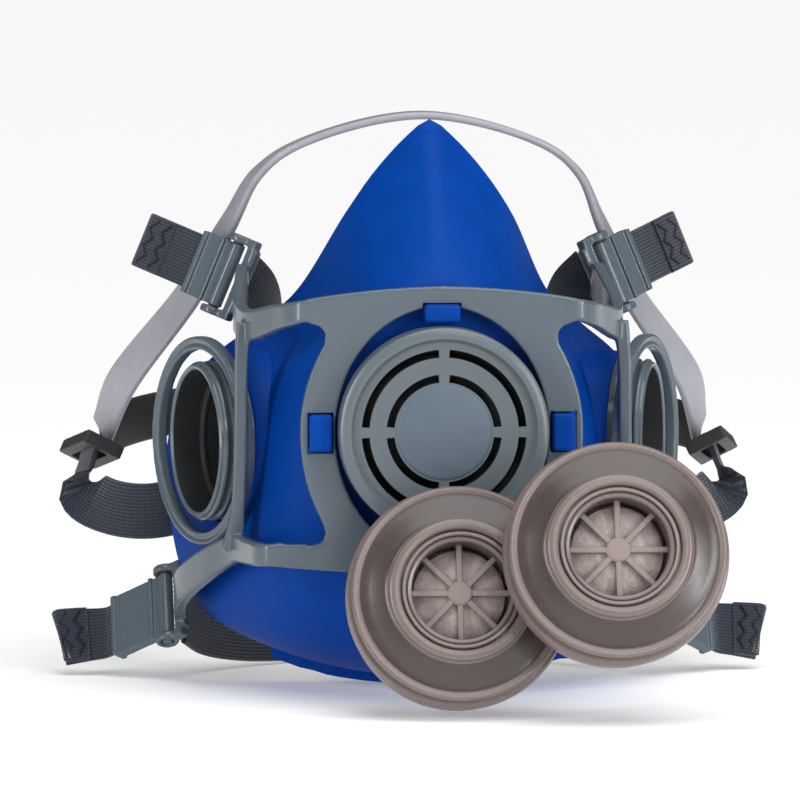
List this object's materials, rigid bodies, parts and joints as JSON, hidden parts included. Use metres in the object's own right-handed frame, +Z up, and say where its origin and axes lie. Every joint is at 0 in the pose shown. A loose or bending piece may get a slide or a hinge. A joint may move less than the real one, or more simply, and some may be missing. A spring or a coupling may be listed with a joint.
{
  "type": "half-mask respirator",
  "caption": "Elastomer half-mask respirator in a clip-on outer frame, with an exhalation valve, side ports, buckled straps, a head cradle and detached round filters.",
  "frame": {"origin": "centre of the bounding box in X and Y, at its lowest point, on the surface that the respirator stands on", "axes": "+Z up with the mask standing on its chin, -Y the way the mask faces, +X the viewer's right when facing the mask"},
  "size_m": [0.183, 0.2159, 0.1473],
  "materials": {
    "silicone": "satin moulded elastomer",
    "frame_plastic": "satin moulded grey",
    "valve_plastic": "satin moulded blue-grey",
    "flap_rubber": "translucent soft sheet",
    "dark_rubber": "matte black",
    "webbing": "ribbed elastic webbing",
    "clip_plastic": "satin black",
    "cradle_plastic": "satin charcoal grey",
    "filter_plastic": "satin taupe",
    "filter_rubber": "matte dark taupe",
    "filter_media": "pleated fibre sheet"
  },
  "bodies": {
    "mask": {"facepiece": "silicone", "outer_frame": "frame_plastic", "exhalation_valve_seat": "frame_plastic", "neck_clip_hook": "clip_plastic", "left_neck_strap": "webbing", "left_port_body": "frame_plastic", "left_port_gasket": "dark_rubber", "left_inhalation_seat": "frame_plastic", "left_port_clamp_ring": "frame_plastic", "left_upper_strap": "webbing", "right_port_body": "frame_plastic", "right_port_gasket": "dark_rubber", "right_inhalation_seat": "frame_plastic", "right_port_clamp_ring": "frame_plastic", "right_upper_strap": "webbing"},
    "exhalation_flap_body": {"exhalation_flap": "flap_rubber"},
    "valve_cover": {"exhalation_valve_cover": "valve_plastic"},
    "left_inhalation_flap_body": {"left_inhalation_flap": "flap_rubber"},
    "left_upper_clasp": {"left_upper_buckle": "frame_plastic", "left_upper_strap_tail": "webbing"},
    "left_lower_clasp": {"left_lower_buckle": "frame_plastic", "left_lower_strap_tail": "webbing"},
    "left_filter": {"left_filter_housing": "filter_plastic", "left_filter_gasket": "filter_rubber", "left_filter_media": "filter_media", "left_filter_cover": "filter_plastic"},
    "right_inhalation_flap_body": {"right_inhalation_flap": "flap_rubber"},
    "right_upper_clasp": {"right_upper_buckle": "frame_plastic", "right_upper_strap_tail": "webbing"},
    "right_lower_clasp": {"right_lower_buckle": "frame_plastic", "right_lower_strap_tail": "webbing"},
    "right_filter": {"right_filter_housing": "filter_plastic", "right_filter_gasket": "filter_rubber", "right_filter_media": "filter_media", "right_filter_cover": "filter_plastic"},
    "cradle": {"head_cradle": "cradle_plastic"},
    "neck_half": {"right_neck_strap": "webbing", "neck_clip_loop": "clip_plastic"}
  },
  "joints": [
    {"name": "exhalation_flap_lift", "type": "slide", "parent": "mask", "child": "exhalation_flap_body", "axis": [0, -1, 0], "range_m": [0, 0.0015], "stiffness_N_per_m": 40},
    {"name": "valve_cover_twist", "type": "hinge", "parent": "mask", "child": "valve_cover", "pos_m": [0, -0.0523, 0.0692], "axis": [0, -1, 0], "range_deg": [0, 30]},
    {"name": "left_inhalation_flap_lift", "type": "slide", "parent": "mask", "child": "left_inhalation_flap_body", "axis": [0.9632, 0.2689, 0], "range_m": [0, 0.0015], "stiffness_N_per_m": 40},
    {"name": "left_upper_buckle_tilt", "type": "hinge", "parent": "mask", "child": "left_upper_clasp", "pos_m": [-0.0498, 0.0177, 0.105], "axis": [0.3779, 0, 0.9258], "range_deg": [-12, 20]},
    {"name": "left_lower_buckle_tilt", "type": "hinge", "parent": "mask", "child": "left_lower_clasp", "pos_m": [-0.065, 0.0247, 0.0189], "axis": [0, 0.5452, 0.8383], "range_deg": [-20, 20]},
    {"name": "right_inhalation_flap_lift", "type": "slide", "parent": "mask", "child": "right_inhalation_flap_body", "axis": [-0.9632, 0.2689, 0], "range_m": [0, 0.0015], "stiffness_N_per_m": 40},
    {"name": "right_upper_buckle_tilt", "type": "hinge", "parent": "mask", "child": "right_upper_clasp", "pos_m": [0.0498, 0.0177, 0.105], "axis": [-0.3779, 0, 0.9258], "range_deg": [-20, 12]},
    {"name": "right_lower_buckle_tilt", "type": "hinge", "parent": "mask", "child": "right_lower_clasp", "pos_m": [0.065, 0.0247, 0.0189], "axis": [0, 0.5452, 0.8383], "range_deg": [-20, 20]},
    {"name": "head_cradle_tilt", "type": "hinge", "parent": "mask", "child": "cradle", "pos_m": [0, 0.0657, 0.0565], "axis": [-1, 0, 0], "range_deg": [0, 20]},
    {"name": "neck_clip_open", "type": "hinge", "parent": "mask", "child": "neck_half", "pos_m": [0.065, 0.0247, 0.0189], "axis": [0, 0, -1], "range_deg": [0, 24]},
    {"name": "left_filter_away", "type": "slide", "parent": "mask", "child": "left_filter", "axis": [-1, 0, 0], "range_m": [0, 0.05]},
    {"name": "right_filter_away", "type": "slide", "parent": "mask", "child": "right_filter", "axis": [0, -1, 0], "range_m": [0, 0.05]}
  ]
}
